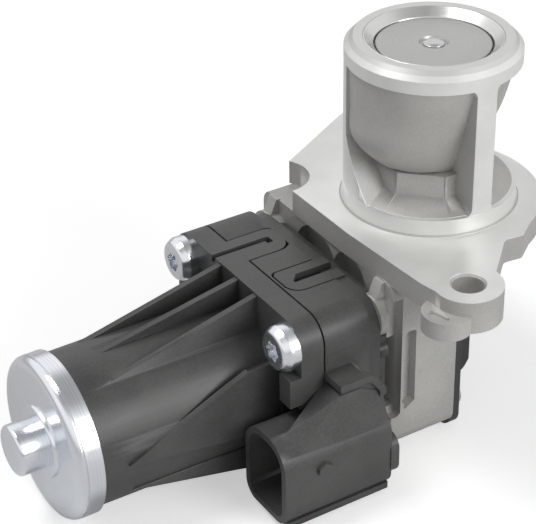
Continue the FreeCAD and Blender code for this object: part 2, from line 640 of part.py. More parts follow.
def motor_pinion():
    piece = Piece("motor_pinion")
    pointing = direction(motor_axis, wheel_axis)
    teeth = gear_outline(motor_axis, v.gear_one, MOTOR_TEETH, pointing)
    piece.pad("YZ", teeth + ring(v.axis_y, axis_z, v.shaft_radius + v.fixed_gap), "gear_width", LAYER_ONE)
    return piece.body


def position_sensor():
    """Hall sensor board on the inside of the gear cover."""
    piece = Piece("position_sensor")
    low = v.cover_rear - v.cover_wall
    half = v.board_height / 2
    board = box_outline(low, low + v.board_width, output_z - half, output_z + half, 1)
    piece.pad("YZ", board, "board_thickness", CASE_OPEN + " - board_thickness")
    return piece.body


def gear_cover():
    """Moulded cover: rim plate on the case mouth and the dome round the stem drive."""
    piece = Piece("gear_cover")
    front = -v.case_front + 1
    rear = v.case_rear - 1
    plate = box_outline(front, rear, -v.cover_bottom, -v.flange_thickness - 0.5, v.case_corner)
    piece.pad("YZ", plate, "cover_plate", CASE_OPEN)
    dome = round_off([(-v.cover_front, -v.cover_bottom + 2, 3), (v.cover_rear, -v.cover_bottom + 2, 3),
                      (v.cover_rear, -v.roof_drop), (-v.cover_front, -v.roof_drop)])
    piece.pad("YZ", dome, f"cover_reach - {case_open:.3f} - 0.2", CASE_OPEN + " + 0.2")
    wall = v.cover_wall
    room = round_off([(-v.cover_front + wall, -v.cover_bottom + 2 + wall, 1.5),
                      (v.cover_rear - wall, -v.cover_bottom + 2 + wall, 1.5),
                      (v.cover_rear - wall, -v.roof_drop + 5), (-v.cover_front + wall, -v.roof_drop + 5)])
    piece.cut("YZ", room, f"cover_reach - {case_open:.3f} - cover_wall + 1", CASE_OPEN + " - 1")
    roof = box_outline(case_open - 1, v.cover_reach + 1, -v.cover_front - 0.1, v.cover_rear + 0.1)
    piece.cut("XY", roof, "8", "-roof_drop")
    slope = round_off([(v.cover_reach - 5, -v.cover_bottom - 1), (v.cover_reach + 1, -v.cover_bottom - 1),
                       (v.cover_reach + 1, -v.cover_bottom + 8)])
    piece.cut("XZ", slope, "cover_front + cover_rear + 2", "-cover_rear - 1")
    for y, z in cover_screw_places():
        piece.cut("YZ", ring(y, z, v.cover_screw_radius + 0.2), "cover_plate + 1", CASE_OPEN + " - 0.5")
    return piece.body


def drive_flange():
    """Plastic flange against the gear case, with the bearing nose in the case wall."""
    piece = Piece("drive_flange")
    inset = 0.6
    outline = box_outline(stack_front + inset, stack_rear - inset, stack_low + inset, -v.stack_top - inset,
                          v.stack_corner + 1.8)
    piece.pad("YZ", outline, "drive_plate", DRIVE_LEFT)
    piece.pad("YZ", ring(v.axis_y, axis_z, v.barrel_radius + 1.2), "stack_gap + 1.1", DRIVE_RIGHT)
    piece.pad("YZ", ring(v.axis_y, axis_z, 8), "stack_gap + case_floor - 0.6", DRIVE_RIGHT)
    piece.cut("YZ", ring(v.axis_y, axis_z, v.bearing_radius + v.fixed_gap), "stack_gap + drive_plate + 1.2", DRIVE_LEFT)
    piece.cut("YZ", ring(v.axis_y, axis_z, 3.4), "20", DRIVE_LEFT + " - 1")
    for y, z in screw_places:
        piece.cut("YZ", ring(y, z, v.screw_radius + 0.25), "drive_plate + 1", DRIVE_LEFT + " - 0.5")
    return piece.body


def connector_plate():
    """Middle plate with the moulded connector shroud at its front."""
    piece = Piece("connector_plate")
    outline = box_outline(stack_front, stack_rear, stack_low, -v.stack_top, v.stack_corner)
    piece.pad("YZ", outline, "connector_plate_depth", PLATE_LEFT)
    front = -v.plug_front
    rear = -v.plug_rear
    low = -v.plug_bottom
    high = -v.plug_top
    shroud = round_off([(front, low, 4), (rear, low, 4), (rear, high, 6.8), (front, high, 6.8)])
    piece.pad("YZ", shroud, f"plug_left - case_reach - stack_gap - {v.drive_plate + 0.4:.3f}", "-plug_left")
    neck = box_outline(plate_left + 0.1, plate_left + 8, front + 0.5, stack_front + 4, 0.6)
    piece.pad("XY", neck, "14", "-32.6")
    step = box_outline(plate_left + 1, plate_left + 8, front + 2.5, stack_front + 4, 0.6)
    piece.pad("XY", step, "16", "-32.6")
    wall = v.plug_wall
    mouth = round_off([(front + wall, low + wall, 2.6), (rear - wall, low + wall, 2.6),
                       (rear - wall, high - wall, 5.2), (front + wall, high - wall, 5.2)])
    piece.cut("YZ", mouth, "plug_depth", "-plug_left")
    piece.cut("YZ", ring(v.axis_y, axis_z, 9), "connector_plate_depth + 2", PLATE_LEFT + " - 1")
    for y, z in screw_places:
        piece.cut("YZ", ring(y, z, v.screw_radius + 0.25), "connector_plate_depth + 1", PLATE_LEFT + " - 0.5")
    for y, z in pin_places():
        hole = box_outline(y - v.pin_size, y + v.pin_size, z - v.pin_size, z + v.pin_size)
        piece.cut("YZ", hole, "6", "-plug_left + plug_depth - 1")
    return piece.body


def pin_places():
    middle_y = -(v.plug_front + v.plug_rear) / 2
    middle_z = -(v.plug_top + v.plug_bottom) / 2
    return [(middle_y, middle_z + (place - 2) * v.pin_pitch) for place in range(5)]


def connector_pins():
    piece = Piece("connector_pins")
    size = v.pin_size - v.fixed_gap
    for y, z in pin_places():
        outline = box_outline(y - size, y + size, z - size, z + size, 0.15)
        piece.pad("YZ", outline, "plug_depth - pin_sink + 4.5", "-plug_left + pin_sink")
    return piece.body


def motor_housing():
    """Flanged plastic barrel of the motor, with tapered ribs down to the flange."""
    piece = Piece("motor_housing")
    notch_y = v.axis_y - v.barrel_radius - 0.6
    notch_z = -v.plug_top + 1.2
    outline = round_off([
        (notch_y, stack_low, 2), (stack_rear, stack_low, v.stack_corner),
        (stack_rear, -v.stack_top, v.stack_corner), (stack_front, -v.stack_top, v.stack_corner),
        (stack_front, notch_z, 1), (notch_y, notch_z, 1)])
    piece.pad("YZ", outline, "motor_plate", MOTOR_LEFT)
    piece.turn_motor([(barrel_left, 0), (barrel_left, v.barrel_radius - 0.4), (motor_left + 1, v.barrel_radius),
                      (motor_left + 1, 0)])
    reach = v.barrel_radius - 1
    for place in (-8.1, -0.2, 7.1):
        sink = axis_z + math.sqrt(reach ** 2 - place ** 2)
        rib = round_off([(-v.rib_reach, sink), (motor_left + 1, -v.stack_top - 0.3), (motor_left + 1, axis_z),
                         (-v.rib_reach, axis_z)])
        high = v.axis_y + place + v.rib_width / 2
        piece.pad("XZ", rib, "rib_width", f"{-high:.3f}")
    bore = v.barrel_radius - v.barrel_wall
    piece.turn_motor([(barrel_left - 1, 0), (barrel_left - 1, bore), (plate_left - 1.4, bore), (plate_left - 1.4, 9),
                      (plate_left + 1, 9), (plate_left + 1, 0)], kind="Groove")
    for y, z in screw_places:
        piece.cut("YZ", ring(y, z, v.screw_radius + 0.25), "motor_plate + 1", MOTOR_LEFT + " - 0.5")
    return piece.body


def end_cap():
    """Deep-drawn steel cap with the rear bearing boss."""
    piece = Piece("end_cap")
    wall = v.cap_sheet
    inner = v.cap_boss - wall
    piece.turn_motor([
        (barrel_left, cap_radius - wall), (barrel_left, cap_radius), (cap_left, cap_radius, 2.2),
        (cap_left, v.cap_boss, 0.5), (boss_left, v.cap_boss, 1), (boss_left, 0), (boss_left + wall, 0),
        (boss_left + wall, inner), (cap_left + wall, inner), (cap_left + wall, cap_radius - wall)])
    return piece.body


def bearing(label, left, length, outer):
    piece = Piece(label)
    piece.turn_motor([(left, v.shaft_radius + v.running_gap), (left, outer), (left + length, outer),
                      (left + length, v.shaft_radius + v.running_gap)])
    return piece.body


def motor_can():
    piece = Piece("motor_can")
    outer = v.barrel_radius - v.barrel_wall - v.fixed_gap
    inner = outer - v.can_wall
    piece.turn_motor([(barrel_left + 1, inner), (barrel_left + 1, outer), (plate_left - 1.5, outer),
                      (plate_left - 1.5, 9), (plate_left - 1.5 - v.can_wall, 9),
                      (plate_left - 1.5 - v.can_wall, inner)])
    return piece.body


def stator_magnets():
    """Two arc magnets inside the can."""
    piece = Piece("stator_magnets")
    outer = can_bore()
    inner = outer - v.magnet_thickness
    for middle in (90, -90):
        first, last = middle - 62, middle + 62
        centre = Vector(v.axis_y, axis_z, 0)
        outline = [Part.Arc(centre + polar(outer, first), centre + polar(outer, middle), centre + polar(outer, last)),
                   Part.LineSegment(centre + polar(outer, last), centre + polar(inner, last)),
                   Part.Arc(centre + polar(inner, last), centre + polar(inner, middle), centre + polar(inner, first)),
                   Part.LineSegment(centre + polar(inner, first), centre + polar(outer, first))]
        piece.pad("YZ", outline, CORE_LENGTH + " + 2", f"{core_left - 1:.3f}")
    return piece.body


def rotor_radius():
    return can_bore() - v.magnet_thickness - v.air_gap


def armature():
    """Slotted sheet core: five poles with winding slots between them."""
    piece = Piece("armature")
    radius = rotor_radius()
    start = f"{core_left:.3f}"
    piece.pad("YZ", ring(v.axis_y, axis_z, radius), CORE_LENGTH, start)
    for pole in range(5):
        turned = Rotation(UP, 36 + 72 * pole)
        slot = [(radius - 4.6, -1.6), (radius - 1.4, -2.4), (radius - 1.4, -0.7), (radius + 1, -0.7),
                (radius + 1, 0.7), (radius - 1.4, 0.7), (radius - 1.4, 2.4), (radius - 4.6, 1.6)]
        corners = [motor_axis + turned.multVec(Vector(u, w, 0)) for u, w in slot]
        piece.cut("YZ", round_off([(p.x, p.y) for p in corners]), CORE_LENGTH + " + 1", start)
    piece.cut("YZ", ring(v.axis_y, axis_z, v.shaft_radius + v.fixed_gap), CORE_LENGTH + " + 1", start)
    return piece.body


def windings():
    """Copper end turns at both ends of the core."""
    piece = Piece("windings")
    outer = rotor_radius() - 1
    ends = [(core_left - v.winding_overhang, core_left - v.fixed_gap),
            (core_right + v.fixed_gap, core_right + v.winding_overhang)]
    for left, right in ends:
        piece.turn_motor([(left, v.shaft_radius + 1, 0.8), (left, outer, 1.4), (right, outer),
                          (right, v.shaft_radius + 1)])
    return piece.body


def commutator():
    piece = Piece("commutator")
    left = commutator_left
    right = left + v.commutator_length
    piece.turn_motor([(left, v.shaft_radius + v.fixed_gap), (left, v.commutator_radius),
                      (right, v.commutator_radius), (right, v.shaft_radius + v.fixed_gap)])
    return piece.body


def can_bore():
    return v.barrel_radius - v.barrel_wall - 2 * v.fixed_gap - v.can_wall


def brush_holder():
    """Moulded ring that carries the two carbon brushes."""
    piece = Piece("brush_holder")
    outer = can_bore()
    wall = v.can_wall
    half = v.brush_width / 2 + v.fixed_gap
    outline = ring(v.axis_y, axis_z, outer) + ring(v.axis_y, axis_z, v.commutator_radius + 2)
    piece.pad("YZ", outline, f"brush_length + {wall:.3f}", f"{brush_left - wall / 2:.3f}")
    slot = box_outline(v.axis_y - outer + 2, v.axis_y + outer - 2, axis_z - half, axis_z + half)
    piece.cut("YZ", slot, "brush_length + can_wall", f"{brush_left - 0.1:.3f}")
    return piece.body


def brushes():
    piece = Piece("brushes")
    outer = can_bore() - 2.1
    half = v.brush_width / 2
    for side in (-1, 1):
        near, far = sorted((side * (v.commutator_radius + v.clear_gap), side * outer))
        block = box_outline(v.axis_y + near, v.axis_y + far, axis_z - half, axis_z + half)
        piece.pad("YZ", block, "brush_length", f"{brush_left:.3f}")
    return piece.body


def motor_shaft():
    piece = Piece("motor_shaft")
    left = boss_left + v.cap_sheet + 0.6
    piece.turn_motor([(left, 0), (left, v.shaft_radius, 0.3), (layer_one + v.gear_width, v.shaft_radius),
                      (layer_one + v.gear_width, 0)])
    return piece.body


def housing_screw(index, y, z):
    """Pan head screw through the stack into the gear case."""
    left = motor_left - v.screw_head_height
    tip = drive_right + v.stack_gap + v.boss_depth - 1.6
    piece = Piece(f"housing_screw_{index}")
    base = Vector(0, z, -y)
    outline = round_off([(left, 0), (left, v.screw_head - 1, 1.2), (left + 1.9, v.screw_head, 0.8),
                         (motor_left, v.screw_head), (motor_left, v.screw_radius),
                         (tip - 1, v.screw_radius), (tip, v.screw_radius - 0.8), (tip, 0)])
    piece.turn(outline, "H_Axis", base)
    star = []
    for point in range(12):
        reach = 2.6 if point % 2 == 0 else 1.95
        corner = polar(reach, 30 * point)
        star.append((y + corner.x, z + corner.y, 0.35))
    piece.cut("YZ", round_off(star), "2.4", f"{left - 0.4:.3f}")
    return piece.body


def cover_screw_places():
    front = -v.case_front + 1
    rear = v.case_rear - 1
    inset = 4.6
    low = -v.case_bottom + inset
    high = -v.flange_thickness - 0.5 - inset
    return [(front + inset, low), (rear - inset, low), (rear - inset, high), (front + inset, high)]


def cover_screw(index, y, z):
    """Small pan head screw that holds the gear cover."""
    seat = case_open + v.cover_plate
    piece = Piece(f"cover_screw_{index}")
    tip = case_open - v.cover_screw_grip
    top = seat + v.cover_screw_rise
    outline = round_off([(tip, 0), (tip, v.cover_screw_radius), (seat, v.cover_screw_radius),
                         (seat, v.cover_screw_head), (top, v.cover_screw_head, 0.8), (top, 0)])
    piece.turn(outline, "H_Axis", Vector(0, z, -y))
    return piece.body


def group(label, members):
    """Identical pieces as one node of separate solids."""
    joined = doc.addObject("Part::Compound", label)
    joined.Label = label
    joined.Links = members
    return joined


PARTS = [
    valve_housing(), valve_seat(), valve_disc(), valve_stem(), guide_bush(), stem_seal(), return_spring(),
    spring_retainer(), stem_yoke(), roller_pin(), cam_roller(), output_gear(), sensor_magnet(),
    intermediate_gear(), gear_pin("output_pin", output_axis, cam_face - 1.4),
    gear_pin("intermediate_pin", wheel_axis, layer_cam - 0.3), motor_pinion(), position_sensor(), gear_cover(),
    drive_flange(), connector_plate(), connector_pins(), motor_housing(), end_cap(),
    bearing("rear_bearing", cap_left - 4, 4.5, v.cap_boss - v.cap_sheet - v.fixed_gap),
    bearing("front_bearing", drive_left + 0.2, v.stack_gap + v.drive_plate + 0.8, v.bearing_radius),
    motor_can(), stator_magnets(), armature(), windings(), commutator(), brush_holder(), brushes(), motor_shaft(),
    group("housing_screws", [housing_screw(k, y, z) for k, (y, z) in enumerate(screw_places)]),
    group("cover_screws", [cover_screw(k, y, z) for k, (y, z) in enumerate(cover_screw_places())]),
]
doc.recompute()

for item in doc.Objects:
    if "Invalid" in item.State or "Error" in item.State:
        raise RuntimeError(f"{item.Name} failed: {item.State}")
os.makedirs("parts", exist_ok=True)
for part in PARTS:
    shape = part.Shape
    if shape.isNull() or not shape.isValid():
        raise RuntimeError(f"{part.Label} has no valid shape")
    shape.exportStep(f"parts/{part.Label}.step")
    print(part.Label, len(shape.Solids), round(shape.Volume, 1))
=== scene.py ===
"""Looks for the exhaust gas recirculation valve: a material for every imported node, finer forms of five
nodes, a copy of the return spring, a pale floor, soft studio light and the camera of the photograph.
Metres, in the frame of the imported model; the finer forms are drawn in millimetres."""
import bmesh
import bpy
import math
from mathutils import Matrix, Vector


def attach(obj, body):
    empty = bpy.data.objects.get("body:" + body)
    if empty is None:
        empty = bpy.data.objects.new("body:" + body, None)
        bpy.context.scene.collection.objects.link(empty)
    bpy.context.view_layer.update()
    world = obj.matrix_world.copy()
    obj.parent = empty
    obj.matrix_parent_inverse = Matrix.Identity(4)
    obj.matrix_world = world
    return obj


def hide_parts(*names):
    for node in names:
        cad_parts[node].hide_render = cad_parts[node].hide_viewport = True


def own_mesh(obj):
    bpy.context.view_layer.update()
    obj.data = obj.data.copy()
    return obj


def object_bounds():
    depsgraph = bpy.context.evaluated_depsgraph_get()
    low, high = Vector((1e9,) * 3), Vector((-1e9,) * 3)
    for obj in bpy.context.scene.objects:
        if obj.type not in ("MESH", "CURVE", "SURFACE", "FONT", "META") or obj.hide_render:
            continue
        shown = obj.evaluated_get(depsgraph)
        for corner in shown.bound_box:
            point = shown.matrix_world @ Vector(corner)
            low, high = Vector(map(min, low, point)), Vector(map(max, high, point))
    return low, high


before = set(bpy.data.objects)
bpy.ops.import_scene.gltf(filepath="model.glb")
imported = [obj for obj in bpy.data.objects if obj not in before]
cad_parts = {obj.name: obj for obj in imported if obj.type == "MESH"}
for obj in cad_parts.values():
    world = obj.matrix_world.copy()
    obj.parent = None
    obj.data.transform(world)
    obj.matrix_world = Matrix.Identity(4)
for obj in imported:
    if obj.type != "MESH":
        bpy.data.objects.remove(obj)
cad_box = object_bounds()

MM = 0.001

# Camera, solved from the photograph: angles in degrees, aim and distance in millimetres.
AZIMUTH = -31.391
ELEVATION = 32.155
ROLL = -1.059
DISTANCE = 395.55
AIM = Vector((-46.584, -4.566, -0.720))
LENS = 121.68
SENSOR = 36.0
CLIP_START = 0.01

# World: its even fill, and how much darker the tent reflects overhead and at the horizon.
# A band is the rise of the direction, from 0 level to 1 straight up, over which the change takes place.
FILL = 0.24
DARK_OVERHEAD = 0.62
OVERHEAD_BAND = (0.68, 0.93)
DARK_HORIZON = 0.5
HORIZON_RISE = 0.03
HORIZON_BAND = (0.05, 0.25)

# Lamps: place, size and watts.
LAMPS = {"key": ((-0.35, 0.3, 1.0), 0.5, 4.2), "front": ((0.3, -0.95, 0.45), 0.6, 5.0)}

# Floor: how far below the object, how far out, its darker and lighter tone, and its glow to the camera.
FLOOR_GAP = 0.3 * MM
FLOOR_REACH = 3.0
FLOOR_DARKER = (0.86, 0.86, 0.86, 1)
FLOOR_LIGHTER = (0.88, 0.88, 0.88, 1)
FLOOR_GLOW = 0.5

# The machined faces of the casting, in metres: radii of the turned side, and heights.
TURNED_FROM = 19.75 * MM
TURNED_TO = 20.3 * MM
TURNED_ABOVE = 0.5 * MM
BASE_TOP = 4.0 * MM
RING_BEVEL = 37.5 * MM
# Height above which the ring's top is painted darker than its turned side: painted shade.
PAINTED_SHADE_TOP = 38.8 * MM

# The middle of a noise's range, which most of its values fill.
MIDDLE = (0.3, 0.7)
WHITE = (1, 1, 1, 1)


def link(item):
    bpy.context.scene.collection.objects.link(item)
    return item


def put(tree, kind, inputs=None, **settings):
    """Adds a shader node; an input is a value or another node's socket."""
    item = tree.nodes.new("ShaderNode" + kind)
    for key, value in settings.items():
        setattr(item, key, value)
    for key, value in (inputs or {}).items():
        if isinstance(value, bpy.types.NodeSocket):
            tree.links.new(value, item.inputs[key])
        else:
            item.inputs[key].default_value = value
    return item


def calc(tree, operation, *values):
    return put(tree, "Math", dict(enumerate(values)), operation=operation).outputs[0]


def add(tree, first, second):
    return calc(tree, "ADD", first, second)


def take(tree, first, second):
    return calc(tree, "SUBTRACT", first, second)


def times(tree, first, second):
    return calc(tree, "MULTIPLY", first, second)


def larger(tree, first, second):
    return calc(tree, "MAXIMUM", first, second)


def noise(tree, place, scale, detail=2.0, rough=0.55):
    inputs = {"Vector": place, "Scale": scale, "Detail": detail, "Roughness": rough}
    return put(tree, "TexNoise", inputs).outputs[0]


def ramp(tree, source, low, high, start=0.0, end=1.0):
    """Maps low..high of the source to start..end, smoothly and held at the ends."""
    inputs = {"Value": source, "From Min": low, "From Max": high, "To Min": start, "To Max": end}
    return put(tree, "MapRange", inputs, interpolation_type="SMOOTHSTEP").outputs[0]


def mix(tree, factor, first, second):
    return put(tree, "Mix", {0: factor, 6: first, 7: second}, data_type="RGBA").outputs[2]


def tone(colour, factor=1.0):
    return (colour[0] * factor, colour[1] * factor, colour[2] * factor, 1.0)


def begin(name):
    """A new material: its tree, its shader and the object's own coordinates."""
    material = bpy.data.materials.new(name)
    material.use_nodes = True
    tree = material.node_tree
    shader = tree.nodes["Principled BSDF"]
    place = put(tree, "TexCoord").outputs["Object"]
    return material, tree, shader, place


def bump(tree, shader, height, strength, depth):
    item = put(tree, "Bump", {"Height": height, "Strength": strength, "Distance": depth})
    tree.links.new(item.outputs[0], shader.inputs["Normal"])


def radius_of(tree, place, centre, axis):
    """Distance from an axis along X or Z through the centre, and the place along it."""
    split = put(tree, "SeparateXYZ", {"Vector": place})
    names = ("Y", "Z", "X") if axis == "X" else ("X", "Y", "Z")
    first = take(tree, split.outputs[names[0]], centre[0])
    second = take(tree, split.outputs[names[1]], centre[1])
    squares = add(tree, times(tree, first, first), times(tree, second, second))
    return calc(tree, "SQRT", squares), split.outputs[names[2]]


def matte(name, colour, rough, grain, spread=0.12, metallic=0.0, specular=0.5, strength=0.35):
    """Moulded, pressed or plated surface: fine grain, with soft clouds in its tone and roughness."""
    material, tree, shader, place = begin(name)
    cloud = noise(tree, place, 70.0, 4.0)
    fine = noise(tree, place, grain, 3.0)
    share = add(tree, times(tree, cloud, 0.6), times(tree, fine, 0.4))
    paint = mix(tree, ramp(tree, share, *MIDDLE), tone(colour, 1 - spread), tone(colour, 1 + spread))
    tree.links.new(paint, shader.inputs["Base Color"])
    tree.links.new(ramp(tree, share, *MIDDLE, rough - 0.06, rough + 0.08), shader.inputs["Roughness"])
    shader.inputs["Metallic"].default_value = metallic
    shader.inputs["Specular IOR Level"].default_value = specular
    bump(tree, shader, fine, strength, 0.05 * MM)
    return material


def lathe(name, colour, rough, centre=(0.0, 0.0), axis="Z", pitch=0.22 * MM, metallic=1.0, strength=0.25):
    """Turned or ground metal: fine rings about its axis, with streaks in its tone."""
    material, tree, shader, place = begin(name)
    radius, height = radius_of(tree, place, centre, axis)
    cloud = noise(tree, place, 110.0, 4.0)
    along = add(tree, add(tree, radius, height), times(tree, cloud, pitch * 0.7))
    rings = calc(tree, "SINE", times(tree, along, 2 * math.pi / pitch))
    streak = noise(tree, put(tree, "CombineXYZ", {"X": along}).outputs[0], 2600.0, 3.0)
    paint = mix(tree, ramp(tree, streak, *MIDDLE), tone(colour, 0.94), tone(colour, 1.06))
    tree.links.new(paint, shader.inputs["Base Color"])
    tree.links.new(ramp(tree, cloud, *MIDDLE, rough - 0.04, rough + 0.05), shader.inputs["Roughness"])
    shader.inputs["Metallic"].default_value = metallic
    bump(tree, shader, add(tree, times(tree, rings, 0.5), streak), strength, 0.01 * MM)
    return material


def machined_faces(tree, radius, height):
    """One on the spigot's base, pillar and ring and on the mounting face, nought on the raw casting."""
    outside = calc(tree, "GREATER_THAN", radius, TURNED_FROM)
    inside = calc(tree, "LESS_THAN", radius, TURNED_TO)
    side = times(tree, times(tree, outside, inside), calc(tree, "GREATER_THAN", height, TURNED_ABOVE))
    bevel = calc(tree, "GREATER_THAN", height, RING_BEVEL)
    step = calc(tree, "COMPARE", height, BASE_TOP, 0.05 * MM)
    face = calc(tree, "COMPARE", height, 0.0, 0.12 * MM)
    return larger(tree, larger(tree, side, bevel), larger(tree, face, step))


def cast_body(name, cast, turned):
    """Die casting, grainy and pitted, with finely turned machined faces, and painted shade on the ring's
    top.
    """
    material, tree, shader, place = begin(name)
    radius, height = radius_of(tree, place, (0.0, 0.0), "Z")
    machined = machined_faces(tree, radius, height)
    cloud = noise(tree, place, 55.0, 5.0)
    grain = noise(tree, place, 2600.0, 3.0, 0.7)
    pits = put(tree, "TexVoronoi", {"Vector": place, "Scale": 1500.0}).outputs["Distance"]
    share = add(tree, times(tree, cloud, 0.55), times(tree, grain, 0.45))
    raw = mix(tree, ramp(tree, share, 0.32, 0.68), tone(cast, 0.86), tone(cast, 1.12))
    rings = calc(tree, "SINE", times(tree, add(tree, radius, height), 2 * math.pi / (0.24 * MM)))
    fine = mix(tree, ramp(tree, add(tree, cloud, times(tree, rings, 0.06)), *MIDDLE),
               tone(turned, 0.94), tone(turned, 1.05))
    # Painted shade: above this height the ring's top gets a darker copy of the turned colour.
    painted_top_shade = calc(tree, "GREATER_THAN", height, PAINTED_SHADE_TOP)
    paint = mix(tree, painted_top_shade, mix(tree, machined, raw, fine), tone(turned, 0.82))
    tree.links.new(paint, shader.inputs["Base Color"])
    shader.inputs["Metallic"].default_value = 0.4
    dull = ramp(tree, share, *MIDDLE, 0.52, 0.66)
    tree.links.new(take(tree, dull, times(tree, machined, 0.2)), shader.inputs["Roughness"])
    raw_height = times(tree, add(tree, grain, times(tree, pits, 0.5)), take(tree, 1.0, machined))
    fine_height = times(tree, times(tree, rings, 0.08), machined)
    bump(tree, shader, add(tree, raw_height, fine_height), 0.5, 0.07 * MM)
    return material


# Materials: name, colour and roughness, then the grain's scale or the axis and pitch of the rings.
MOTOR_AXIS = (4.4 * MM, -33.0 * MM)
CAST = cast_body("cast_aluminium", (0.53, 0.525, 0.505), (0.88, 0.88, 0.86))
PLASTIC = matte("black_plastic", (0.082, 0.083, 0.081), 0.38, 1900.0, 0.25, specular=0.45, strength=0.3)
SMOOTH_PLASTIC = matte("black_plastic_smooth", (0.058, 0.059, 0.058), 0.34, 2600.0, 0.2, strength=0.15)
ZINC = lathe("zinc_plate", (0.80, 0.825, 0.87), 0.2, MOTOR_AXIS, "X", 0.5 * MM, strength=0.05)
SCREW = matte("zinc_screw", (0.80, 0.82, 0.86), 0.22, 900.0, 0.06, metallic=1.0, strength=0.05)
STEEL = lathe("ground_steel", (0.60, 0.60, 0.605), 0.28)
DISC = lathe("poppet_steel", (0.50, 0.50, 0.49), 0.42, metallic=0.7)
SEAT = lathe("seat_steel", (0.66, 0.66, 0.655), 0.3)
MOTOR_STEEL = lathe("shaft_steel", (0.62, 0.62, 0.62), 0.26, MOTOR_AXIS, "X")
BRONZE = lathe("sintered_bronze", (0.62, 0.47, 0.22), 0.42, metallic=0.9)
MOTOR_BRONZE = lathe("sintered_bronze_motor", (0.62, 0.47, 0.22), 0.42, MOTOR_AXIS, "X", metallic=0.9)
ACETAL = matte("natural_acetal", (0.72, 0.69, 0.60), 0.4, 1500.0, 0.05, strength=0.1)
COPPER = lathe("enamelled_copper", (0.62, 0.24, 0.09), 0.3, MOTOR_AXIS, "X", 0.45 * MM, 0.9, 0.9)
TIN = matte("tin_plate", (0.76, 0.75, 0.72), 0.24, 1500.0, 0.08, metallic=1.0, strength=0.08)
RUBBER = matte("seal_rubber", (0.022, 0.022, 0.022), 0.7, 2400.0, 0.2, specular=0.3)
FERRITE = matte("ferrite", (0.055, 0.055, 0.06), 0.6, 2200.0, 0.25)
CARBON = matte("carbon", (0.03, 0.03, 0.032), 0.5, 3200.0, 0.3, strength=0.5)
BOARD = matte("circuit_board", (0.015, 0.09, 0.045), 0.32, 700.0, 0.3)

LOOKS = {
    "valve_housing": CAST, "valve_seat": SEAT, "valve_disc": DISC, "valve_stem": STEEL,
    "guide_bush": BRONZE, "stem_seal": RUBBER, "return_spring": STEEL, "spring_retainer": STEEL,
    "stem_yoke": STEEL, "roller_pin": STEEL, "cam_roller": STEEL, "output_gear": ACETAL,
    "sensor_magnet": FERRITE, "intermediate_gear": ACETAL, "output_pin": STEEL,
    "intermediate_pin": STEEL, "motor_pinion": MOTOR_BRONZE, "position_sensor": BOARD,
    "gear_cover": SMOOTH_PLASTIC, "drive_flange": PLASTIC, "connector_plate": PLASTIC,
    "connector_pins": TIN, "motor_housing": PLASTIC, "end_cap": ZINC, "rear_bearing": MOTOR_BRONZE,
    "front_bearing": MOTOR_BRONZE, "motor_can": MOTOR_STEEL, "stator_magnets": FERRITE,
    "armature": MOTOR_STEEL, "windings": COPPER, "commutator": COPPER, "brush_holder": SMOOTH_PLASTIC,
    "brushes": CARBON, "motor_shaft": MOTOR_STEEL, "housing_screws": SCREW, "cover_screws": SCREW,
}
for name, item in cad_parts.items():
    item.data.materials.clear()
    item.data.materials.append(LOOKS[name])

# Finer forms of five nodes, in millimetres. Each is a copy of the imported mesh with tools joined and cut.
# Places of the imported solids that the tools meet. Left and right are on X, front and rear on Y.
TURNED_SIDE = 19.85
RING_LOW = 34.7
BASE_HIGH = 4.0
BORE = 10.6
CASE_LEFT = -25.5
CASE_FRONT = -22.5
DRIVE_RIGHT = -28.5
DRIVE_LEFT = -31.6
PLATE_LEFT = -43.9
MOTOR_LEFT = -49.6
CAP_LEFT = -100.0
STACK_FRONT = -22.6
STACK_REAR = 31.4
STACK_LOW = -51.5
STACK_TOP = -8.1
MOTOR_Y = 4.4
MOTOR_Z = -33.0
BARREL = 18.3
PLUG_LEFT = -60.0
PLUG_FRONT = -32.1
PLUG_HIGH = -30.0
PLUG_LOW = -51.0
SCREWS = ((-17.4, -14.3), (26.2, -14.3), (26.2, -45.0))
EAR = (16, 36.2)

# Sizes of the finer forms.
SHAVE = 0.03
FUNNEL = TURNED_SIDE - 0.55
WAIST = 12.1
PLINTH = 14.7
PILLAR = 2.65
PILLAR_FILLET = 1.8
OUTLET = 7.5
OUTLET_Z = 22.5
EAR_OUTWARD = (6.8, 1.8)
EAR_HOLE = 3.5
HOLE_CHAMFER = 1.1
LOBE = 5.6
LOBE_OUT = {-1: 7.0, 1: 4.2}
LOBE_HEIGHT = 4.3
FLANGE_LOW = -7.8
ARCHES = ((8.6, 8.2), (-5.2, 6.4))
WEB = 3.2
HOLLOW = 2.4
DEEP_HOLLOW = 8
HOLLOW_LOW = -38.0
STEP_INSET = 2.4
PEG = 2.3
SCREW_ROOM = 5.3
HOOK = 1.6
HOOK_GAP = 0.4
REAR_HOOK = (MOTOR_Y + 4.1, MOTOR_Y + 13.8)
FRONT_HOOK = (MOTOR_Y - 12.9, MOTOR_Y - 3.7)
SEAM = 1.1
HOOD_TOP = -20.6
HOOD = 1.5
FIN = 1.4
ARC_STEP = math.radians(10)

# Meshes: doubles this close are joined, planes this near in angle merged, and edges sharper kept sharp.
TOOL_DOUBLES = 1e-7
PACKED_DOUBLES = 1e-6
RESULT_DOUBLES = 2e-6
FLAT_ANGLE = math.radians(0.6)
SHARP_ANGLE = math.radians(23)

JOIN = "UNION"
CUT = "DIFFERENCE"
TRIM = "INTERSECT"


